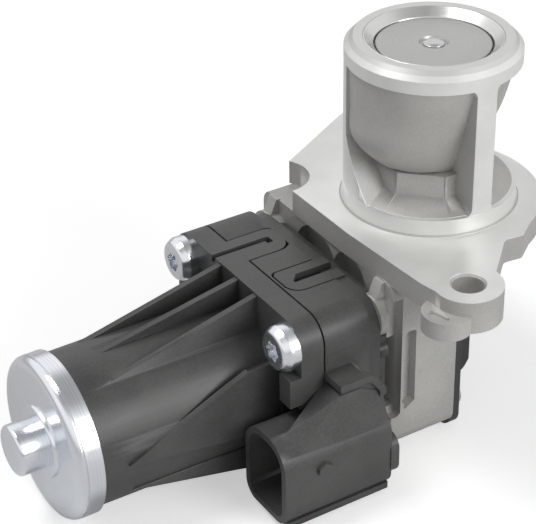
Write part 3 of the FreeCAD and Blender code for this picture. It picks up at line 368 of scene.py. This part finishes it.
def round_off(points):
    """Closed outline; a third number rounds that corner to its radius."""
    outline = []
    for index, point in enumerate(points):
        corner = Vector(point[:2])
        radius = point[2] if len(point) > 2 else 0.0
        before = (Vector(points[index - 1][:2]) - corner).normalized()
        after = (Vector(points[(index + 1) % len(points)][:2]) - corner).normalized()
        opening = before.angle(after)
        if radius <= 0 or opening > math.pi - 0.01:
            outline.append(corner)
            continue
        middle = corner + (before + after).normalized() * (radius / math.sin(opening / 2))
        first = corner + before * (radius / math.tan(opening / 2)) - middle
        swing = first.angle_signed(corner + after * (radius / math.tan(opening / 2)) - middle)
        steps = max(2, math.ceil(abs(swing) / ARC_STEP))
        for step in range(steps + 1):
            outline.append(middle + Matrix.Rotation(-swing * step / steps, 2) @ first)
    return outline


def rectangle(low_u, high_u, low_w, high_w):
    return [(low_u, low_w), (high_u, low_w), (high_u, high_w), (low_u, high_w)]


def box_outline(low_u, high_u, low_w, high_w, radius=0.0):
    return round_off([(u, w, radius) for u, w in rectangle(low_u, high_u, low_w, high_w)])


def ring(u, w, radius, steps=64):
    turns = [2 * math.pi * k / steps for k in range(steps)]
    return [Vector((u + radius * math.cos(turn), w + radius * math.sin(turn))) for turn in turns]


def tool_of(work):
    """Ends the making of a tool, with its normals outward."""
    bmesh.ops.recalc_face_normals(work, faces=work.faces)
    mesh = bpy.data.meshes.new("tool")
    work.to_mesh(mesh)
    work.free()
    return bpy.data.objects.new("tool", mesh)


def solid(rows, closed=False):
    """Tool through rows of points: between each row and the next, with its ends capped or joined."""
    work = bmesh.new()
    grid = [[work.verts.new(Vector(point) * MM) for point in row] for row in rows]
    count = len(grid[0])
    for index in range(len(grid) if closed else len(grid) - 1):
        first = grid[index]
        second = grid[(index + 1) % len(grid)]
        for k in range(count):
            work.faces.new((first[k - 1], first[k], second[k], second[k - 1]))
    if not closed:
        work.faces.new(grid[0])
        work.faces.new(reversed(grid[-1]))
    bmesh.ops.remove_doubles(work, verts=work.verts, dist=TOOL_DOUBLES)
    bmesh.ops.dissolve_degenerate(work, edges=work.edges, dist=TOOL_DOUBLES)
    return tool_of(work)


def hull(points):
    """Tool in the convex hull of some points."""
    work = bmesh.new()
    for point in points:
        work.verts.new(Vector(point) * MM)
    bmesh.ops.convex_hull(work, input=work.verts)
    return tool_of(work)


def prism(plane, outline, length, start):
    """Prism on XY, YZ or XZ; the last one's normal looks to -Y."""
    def place(point, level):
        if plane == "XY":
            return (point[0], point[1], level)
        if plane == "YZ":
            return (level, point[0], point[1])
        return (point[0], -level, point[1])
    return solid([[place(point, level) for point in outline] for level in (start, start + length)])


def turned(profile, centre=(0.0, 0.0), axis="Z", angle=360.0, spin=0.0, steps=96):
    """Turned tool from points (radius, height) about Z, or (x, radius) about X."""
    rows = []
    whole = angle >= 360
    for step in range(steps if whole else steps + 1):
        swing = math.radians(spin + angle * step / steps)
        if axis == "Z":
            rows.append([(centre[0] + p[0] * math.cos(swing), centre[1] + p[0] * math.sin(swing), p[1])
                         for p in profile])
        else:
            rows.append([(p[0], centre[0] + p[1] * math.cos(swing), centre[1] + p[1] * math.sin(swing))
                         for p in profile])
    return solid(rows, whole)


def smooth(a, b, c, d, share):
    """Value at a share of the way from b to c, on a smooth curve that a comes before and d after."""
    square = (2 * a - 5 * b + 4 * c - d) * share ** 2
    cube = (3 * b - a - 3 * c + d) * share ** 3
    return 0.5 * (2 * b + (c - a) * share + square + cube)


def loft(sections, rows=20, count=96):
    """Smooth tool through ellipses (centre x, half x, half y, height)."""
    stack = []
    for step in range(rows + 1):
        reach = step / rows * (len(sections) - 1)
        index = min(int(reach), len(sections) - 2)
        four = [sections[min(max(index + k, 0), len(sections) - 1)] for k in (-1, 0, 1, 2)]
        middle, half_x, half_y, height = (smooth(*values, reach - index) for values in zip(*four))
        turns = [2 * math.pi * k / count for k in range(count)]
        stack.append([(middle + half_x * math.cos(turn), half_y * math.sin(turn), height) for turn in turns])
    return solid(stack)


def combine(item, steps):
    """Joins the tools to an object's mesh, or cuts or trims it by them, in order."""
    link(item)
    for operation, tool in steps:
        link(tool)
        modifier = item.modifiers.new("shape", "BOOLEAN")
        modifier.operation = operation
        modifier.solver = "MANIFOLD"
        modifier.object = tool
    result = bpy.data.meshes.new_from_object(item.evaluated_get(bpy.context.evaluated_depsgraph_get()))
    item.modifiers.clear()
    item.data = result
    for operation, tool in steps:
        bpy.data.objects.remove(tool)
    return item


def part(tool, steps):
    """A tool made from several; it is linked again where it is used."""
    combine(tool, steps)
    bpy.context.scene.collection.objects.unlink(tool)
    return tool


def stand_for(item, name):
    """Lets a piece ride on the housing in a node's place, and hides the node."""
    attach(item, "housing")
    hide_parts(name)


def reshape(name, steps):
    """Replaces a node by a copy of its mesh with the tools joined or cut, in order."""
    work = bmesh.new()
    work.from_mesh(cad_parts[name].data)
    bmesh.ops.remove_doubles(work, verts=work.verts, dist=PACKED_DOUBLES)
    mesh = bpy.data.meshes.new(name + "_detail")
    work.to_mesh(mesh)
    work.free()
    item = combine(bpy.data.objects.new(name + "_detail", mesh), steps)
    work = bmesh.new()
    work.from_mesh(item.data)
    bmesh.ops.remove_doubles(work, verts=work.verts, dist=RESULT_DOUBLES)
    bmesh.ops.dissolve_limit(work, angle_limit=FLAT_ANGLE, verts=work.verts, edges=work.edges)
    work.to_mesh(item.data)
    work.free()
    item.data.shade_smooth()
    item.data.set_sharp_from_angle(angle=SHARP_ANGLE)
    item.modifiers.new("even", "WEIGHTED_NORMAL").keep_sharp = True
    item.data.materials.clear()
    item.data.materials.append(LOOKS[name])
    stand_for(item, name)


def spigot_tools():
    """Cast funnel, duct wall, plinth and pillar in place of the plain ones, within the turned radius."""
    inner = BORE + 0.5
    funnel = loft([(2.4 - FUNNEL / 8, FUNNEL * 0.732, WAIST, 12),
                   (-FUNNEL * 0.15, FUNNEL * 0.85, WAIST + 1.8, 18),
                   (-FUNNEL * 0.08, FUNNEL * 0.92, WAIST + 4.3, 25.5),
                   (-0.5, FUNNEL - 0.5, 18.7, RING_LOW + 0.1)])
    foot = [(inner, 3), (18.9, 3), (18.9, BASE_HIGH + 0.05), (13.2, 6.8), (inner, 12.5)]
    corners = [math.radians(22.5 + 45 * k) for k in range(8)]
    plinth = [(PLINTH * math.cos(corner), PLINTH * math.sin(corner), 1.0) for corner in corners]
    wall = [(7, 18), (-3.3, 3.9), (12, 3.9), (12, 18)]
    flare = PILLAR + 2.4
    low = BASE_HIGH - 0.2
    high = RING_LOW + 0.2
    pillar = [(-flare, high + 0.5), (-flare, high), (-PILLAR, high, PILLAR_FILLET),
              (-PILLAR, low, PILLAR_FILLET), (-flare, low), (-flare, low - 0.5), (flare, low - 0.5),
              (flare, low), (PILLAR, low, PILLAR_FILLET), (PILLAR, high, PILLAR_FILLET), (flare, high),
              (flare, high + 0.5)]
    body = part(funnel, [
        (JOIN, turned(foot)),
        (JOIN, prism("XY", round_off(plinth), 8, 3.9)),
        (JOIN, turned(rectangle(inner, 21, 3.9, RING_LOW + 0.5), angle=120.0, spin=40.0)),
        (JOIN, prism("YZ", round_off(wall), 8.4, -20.5)),
        (JOIN, prism("XZ", round_off(pillar), 9.9, 11.1)),
        (TRIM, turned(rectangle(0, TURNED_SIDE, 3.5, RING_LOW + 0.4))),
    ])
    return [
        (CUT, turned(rectangle(BORE + 0.9, 26, BASE_HIGH - SHAVE, RING_LOW + SHAVE))),
        (JOIN, body),
        (CUT, turned(rectangle(0, BORE, 13.5, 36))),
        (CUT, prism("XZ", ring(0, OUTLET_Z, OUTLET), 22, -22)),
    ]


def ear_tools(side):
    """Lobe with its dish beside an ear's hole, and the hole with its chamfer."""
    hole = Vector(EAR) * side
    outward = Vector(EAR_OUTWARD).normalized() * side
    across = Vector((-outward.y, outward.x))
    lobe = hole + outward * LOBE_OUT[side]
    dish = [lobe + outward * out + across * wide
            for out, wide in ((2.0, 3.4), (4.2, 1.8), (4.2, -1.8), (2.0, -3.4))]
    chamfer = [(0, -0.6), (EAR_HOLE, -0.6), (EAR_HOLE + HOLE_CHAMFER, 0.5), (0, 0.5)]
    return [
        (JOIN, prism("XY", ring(lobe.x, lobe.y, LOBE), LOBE_HEIGHT, FLANGE_LOW)),
        (CUT, prism("XY", round_off([(p.x, p.y, 0.8) for p in dish]), LOBE_HEIGHT, -LOBE_HEIGHT)),
        (CUT, prism("XY", ring(hole.x, hole.y, EAR_HOLE), 9.8, FLANGE_LOW - 1)),
        (CUT, turned(chamfer, (hole.x, hole.y), steps=48)),
    ]


def hollow_tools():
    """Two hollows at the case's front with a rib between them, the left one deep in its middle."""
    left = CASE_LEFT - 1
    rim = CASE_LEFT + 2.6
    slab = CASE_LEFT + 6.5
    first = [(left, -9), (rim, -9), (rim, HOLLOW_LOW - 2.2), (rim - 0.8, HOLLOW_LOW - 3),
             (left, HOLLOW_LOW - 3)]
    second = [(rim + 0.9, -18.5, 0.8), (slab, -18.5, 0.8), (slab, HOLLOW_LOW, 0.5),
              (rim + 0.9, HOLLOW_LOW - 2, 0.5)]
    deep = box_outline(left, rim - 0.3, HOLLOW_LOW - 1, -19.8)
    return [
        (CUT, prism("XZ", round_off(first), HOLLOW + 0.5, -CASE_FRONT - HOLLOW)),
        (CUT, prism("XZ", deep, DEEP_HOLLOW + 0.5, -CASE_FRONT - DEEP_HOLLOW)),
        (CUT, prism("XZ", round_off(second), HOLLOW + 0.5, -CASE_FRONT - HOLLOW)),
    ]


def housing_tools():
    """Spigot and ears, arches under the flange, webs over the screw bosses, and hollows at the front."""
    steps = spigot_tools() + ear_tools(-1) + ear_tools(1)
    for y, half in ARCHES:
        arch = [(y - half, -19.3), (y + half, -19.3), (y + half, -6, half - 0.4), (y - half, -6, half - 0.4)]
        steps.append((CUT, prism("YZ", round_off(arch), 2.6, CASE_LEFT - 0.3)))
    for y, z in SCREWS[:2]:
        web = [(DRIVE_RIGHT, z), (CASE_LEFT + 0.5, z), (CASE_LEFT + 0.5, -5.8), (-26.2, -5.8),
               (DRIVE_RIGHT, z + 3)]
        steps.append((JOIN, prism("XZ", round_off(web), WEB, -y - WEB / 2)))
    return steps + hollow_tools()


def hook_tools(outline, slot):
    """Hook in the top of the stack with a slot along it."""
    return [(JOIN, prism("XY", round_off(outline), HOOK, STACK_TOP - HOOK)),
            (CUT, prism("XY", round_off(slot), HOOK + 1, STACK_TOP - HOOK))]


def flange_tools():
    """Front hook, and before the casting the step and the peg, with room for the screw bosses."""
    tip = PLATE_LEFT + 1.3
    right = DRIVE_RIGHT - 0.3
    low, high = FRONT_HOOK
    step = box_outline(STACK_FRONT + STEP_INSET, STACK_REAR - STEP_INSET,
                       STACK_LOW + STEP_INSET, STACK_TOP - STEP_INSET, 9.2)
    peg = ring(STACK_FRONT + STEP_INSET + 1, STACK_TOP - 14.5, PEG)
    steps = [(JOIN, prism("YZ", outline, 2.8, DRIVE_RIGHT - 0.1)) for outline in (step, peg)]
    for y, z in SCREWS:
        steps.append((CUT, prism("YZ", ring(y, z, SCREW_ROOM), 3.5, DRIVE_RIGHT)))
    for y, z in SCREWS[:2]:
        steps.append((CUT, prism("YZ", box_outline(y - 1.9, y + 1.9, z, 0), 3.5, DRIVE_RIGHT)))
    hook = [(tip, low, 3.5), (right, low), (right, high), (tip, high, 1.5)]
    slot = [(tip + 2.1, low + 3.5, 0.4), (right + 1, low + 3.5), (right + 1, high - 2.9),
            (tip + 4.6, high - 2.9, 0.4), (tip + 3.4, low + 5)]
    return steps + hook_tools(hook, slot)


def pocket_tools():
    """Pockets for the two hooks, with a gap round them."""
    left = PLATE_LEFT - 1
    right = DRIVE_LEFT + HOOK_GAP
    low, high = REAR_HOOK[0] - HOOK_GAP, REAR_HOOK[1] + HOOK_GAP
    rear = [(left, low), (right, low, 4.3), (right, high, 2.5), (left, high)]
    tip = PLATE_LEFT + 1.3 - HOOK_GAP
    far, near = FRONT_HOOK[0] - HOOK_GAP, FRONT_HOOK[1] + HOOK_GAP
    front = [(tip, far, 3.8), (DRIVE_LEFT + 1, far), (DRIVE_LEFT + 1, near), (tip, near, 1.5)]
    return [(CUT, prism("XY", round_off(outline), 3, STACK_TOP - 1.9)) for outline in (rear, front)]


def seam_tool():
    """Frame round the stack that cuts the seam between the plate and the motor's flange."""
    around = box_outline(STACK_FRONT - 1, STACK_REAR + 1, STACK_LOW - 1, STACK_TOP + 1)
    within = box_outline(STACK_FRONT + SEAM, STACK_REAR - SEAM,
                         STACK_LOW + SEAM, STACK_TOP - SEAM, 6.2 - SEAM)
    return part(prism("YZ", around, 1.45, PLATE_LEFT - 1), [(CUT, prism("YZ", within, 3, PLATE_LEFT - 2))])


def plate_tools():
    """Seam, pockets for the hooks, and the connector's neck, hood, rail, nib and knob."""
    under = HOOD_TOP - HOOD
    bend = PLATE_LEFT + 7.9
    side = DRIVE_LEFT - 0.7
    begin = -STACK_FRONT - 1
    ahead = -PLUG_FRONT - 3.4 - begin
    room = box_outline(PLATE_LEFT, PLATE_LEFT + 9, -32.6, -16)
    neck = [(-56, -26, -30.3), (-56, -31, -33.2), (-56, -22, -36), (-56, -31.5, -36),
            (PLATE_LEFT + 0.4, -28.4, under - 1.5), (PLATE_LEFT + 0.4, -22, under - 1.5),
            (bend - 2, -28.4, under - 1.5), (bend - 2, -22, under - 1.5), (side, -28.4, under - 4.5),
            (side, -22, under - 4.5), (side, -31.7, -35), (side, -22, -36)]
    filling = [(PLATE_LEFT + 0.9, under + 0.2), (bend, under + 0.2, 3), (side - 0.3, under - 3.2, 1.5),
               (side - 0.3, under - 8), (PLATE_LEFT + 0.9, under - 8)]
    hood = [(PLATE_LEFT + 0.1, HOOD_TOP), (bend + 0.8, HOOD_TOP, 3.5), (side + 0.6, HOOD_TOP - 4.6, 1.5),
            (side + 0.6, HOOD_TOP - 6.6), (side - 1.1, HOOD_TOP - 6.6), (side - 1.1, HOOD_TOP - 5.1, 1.5),
            (bend, under, 3), (PLATE_LEFT + 0.1, under)]
    rail = box_outline(PLUG_LEFT + 1, side, PLUG_FRONT + 0.6, PLUG_FRONT + 6.1, 0.4)
    nib = [(PLUG_LEFT + 8.3, PLUG_HIGH - 8.8), (PLUG_LEFT + 11.7, PLUG_HIGH - 8.8),
           (PLUG_LEFT + 11.7, PLUG_HIGH - 7.3), (PLUG_LEFT + 10, PLUG_HIGH - 6.3),
           (PLUG_LEFT + 8.3, PLUG_HIGH - 7.3)]
    knob = box_outline(PLUG_FRONT - 0.3, STACK_FRONT - 0.1, PLUG_LOW + 3, PLUG_LOW + 13, 3)
    return [(CUT, seam_tool())] + pocket_tools() + [
        (CUT, prism("XZ", room, 12, 22.7)),
        (JOIN, hull(neck)),
        (JOIN, prism("XZ", round_off(filling), ahead - 0.5, begin)),
        (JOIN, prism("XZ", round_off(hood), ahead + 0.5, begin)),
        (JOIN, prism("XY", rail, 1.6, PLUG_LOW - 0.6)),
        (JOIN, prism("XZ", round_off(nib), 1.5, -PLUG_FRONT - 0.5)),
        (JOIN, prism("YZ", knob, 2.2, DRIVE_LEFT - 0.7)),
    ]


def motor_tools():
    """Rear hook, two fins at the front and the tab under the front screw."""
    low, high = REAR_HOOK
    left = PLATE_LEFT - 1
    right = DRIVE_LEFT - HOOK_GAP
    hook = [(left, low), (right, low, 4), (right, high, 2.5), (left, high)]
    slot = [(MOTOR_LEFT - 1, high - 4.7), (right - 4.2, high - 4.7, 0.4), (right - 4.2, high - 5.8),
            (right - 2.6, high - 5.8, 0.4), (right - 2.6, high - 3.2, 0.8), (MOTOR_LEFT - 1, high - 3.2)]
    end = MOTOR_LEFT + 1
    upper = [(-88, MOTOR_Z), (MOTOR_LEFT - 8.4, MOTOR_Z + 13), (end, MOTOR_Z + 13), (end, MOTOR_Z - 5.5),
             (MOTOR_LEFT - 10.4, MOTOR_Z - 4)]
    lower = [(-86, MOTOR_Z - 9), (MOTOR_LEFT - 10.4, MOTOR_Z - 14.7), (end, MOTOR_Z - 17.5),
             (end, MOTOR_Z - 9.5)]
    tab = box_outline(STACK_FRONT, STACK_FRONT + 4.3, -27.1, -19.9)
    return hook_tools(hook, slot) + [
        (JOIN, prism("XZ", round_off(upper), FIN, -MOTOR_Y + BARREL - 1)),
        (JOIN, prism("XZ", round_off(lower), FIN, -MOTOR_Y + BARREL - 3.5)),
        (JOIN, prism("YZ", tab, 4, MOTOR_LEFT - 3)),
    ]


def cap_tools():
    """Groove in the rim and the step round the boss."""
    rim = BARREL + 0.7
    cut = CAP_LEFT + 1.7
    groove = [(cut, rim - 0.3), (cut + 0.4, rim - 0.3), (cut + 0.5, rim + 1), (cut - 0.1, rim + 1)]
    step = [(CAP_LEFT + 0.3, 5.5), (CAP_LEFT - 0.8, 5.5), (CAP_LEFT - 0.8, 8.3, 0.5), (CAP_LEFT + 0.3, 8.6)]
    centre = (MOTOR_Y, MOTOR_Z)
    return [(CUT, turned(groove, centre, "X")), (JOIN, turned(round_off(step), centre, "X"))]


reshape("valve_housing", housing_tools())
reshape("drive_flange", flange_tools())
reshape("connector_plate", plate_tools())
reshape("motor_housing", motor_tools())
reshape("end_cap", cap_tools())

# Return spring: a copy of its mesh rides on the housing in the node's place.
spring = link(bpy.data.objects.new("return_spring_detail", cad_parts["return_spring"].data.copy()))
stand_for(spring, "return_spring")
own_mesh(spring)


def make_floor(level):
    """Floor that is white to the camera, with the object's own shadow."""
    corners = [(x, y, level) for x, y in rectangle(-FLOOR_REACH, FLOOR_REACH, -FLOOR_REACH, FLOOR_REACH)]
    mesh = bpy.data.meshes.new("floor")
    mesh.from_pydata(corners, [], [(0, 1, 2, 3)])
    link(bpy.data.objects.new("floor", mesh))
    material, tree, shader, place = begin("floor_paint")
    paint = mix(tree, noise(tree, place, 9.0, 2.0), FLOOR_DARKER, FLOOR_LIGHTER)
    tree.links.new(paint, shader.inputs["Base Color"])
    shader.inputs["Roughness"].default_value = 0.9
    shader.inputs["Specular IOR Level"].default_value = 0.1
    shader.inputs["Emission Color"].default_value = WHITE
    seen = put(tree, "LightPath").outputs["Is Camera Ray"]
    tree.links.new(times(tree, seen, FLOOR_GLOW), shader.inputs["Emission Strength"])
    mesh.materials.append(material)


def make_world():
    """Even fill for surfaces, white where the camera, gloss or glass looks at it."""
    world = bpy.data.worlds.new("studio")
    bpy.context.scene.world = world
    world.use_nodes = True
    tree = world.node_tree
    background = tree.nodes["Background"]
    background.inputs["Color"].default_value = WHITE
    path = put(tree, "LightPath").outputs
    rise = put(tree, "SeparateXYZ", {"Vector": put(tree, "TexCoord").outputs["Generated"]}).outputs["Z"]
    overhead = ramp(tree, rise, *OVERHEAD_BAND, 0.0, DARK_OVERHEAD)
    level = calc(tree, "ABSOLUTE", take(tree, rise, HORIZON_RISE))
    horizon = ramp(tree, level, *HORIZON_BAND, DARK_HORIZON, 0.0)
    tent = take(tree, take(tree, 1.0, overhead), horizon)
    gloss = times(tree, path["Is Glossy Ray"], tent)
    seen = larger(tree, path["Is Camera Ray"], path["Is Transmission Ray"])
    tree.links.new(larger(tree, larger(tree, seen, gloss), FILL), background.inputs["Strength"])


def make_lamp(name, place, size, watts, aim):
    light = bpy.data.lights.new(name, "AREA")
    light.shape = "DISK"
    light.size = size
    light.energy = watts
    item = link(bpy.data.objects.new(name, light))
    item.location = place
    item.rotation_euler = (aim - Vector(place)).to_track_quat("-Z", "Y").to_euler()


def make_camera():
    azimuth = math.radians(AZIMUTH)
    elevation = math.radians(ELEVATION)
    roll = math.radians(ROLL)
    level = math.cos(elevation)
    back = Vector((math.sin(azimuth) * level, -math.cos(azimuth) * level, math.sin(elevation)))
    right = Vector((math.cos(azimuth), math.sin(azimuth), 0.0))
    up = back.cross(right)
    right, up = (right * math.cos(roll) + up * math.sin(roll), up * math.cos(roll) - right * math.sin(roll))
    lens = bpy.data.cameras.new("camera")
    lens.lens = LENS
    lens.sensor_width = SENSOR
    lens.clip_start = CLIP_START
    camera = link(bpy.data.objects.new("camera", lens))
    turn = Matrix((right, up, back)).transposed().to_4x4()
    camera.matrix_world = Matrix.Translation((AIM + back * DISTANCE) * MM) @ turn
    bpy.context.scene.camera = camera


make_floor(cad_box[0][2] - FLOOR_GAP)
make_world()
for name, (place, size, watts) in LAMPS.items():
    make_lamp(name, place, size, watts, (Vector(cad_box[0]) + Vector(cad_box[1])) / 2)
make_camera()
bpy.context.scene.view_settings.view_transform = "Standard"
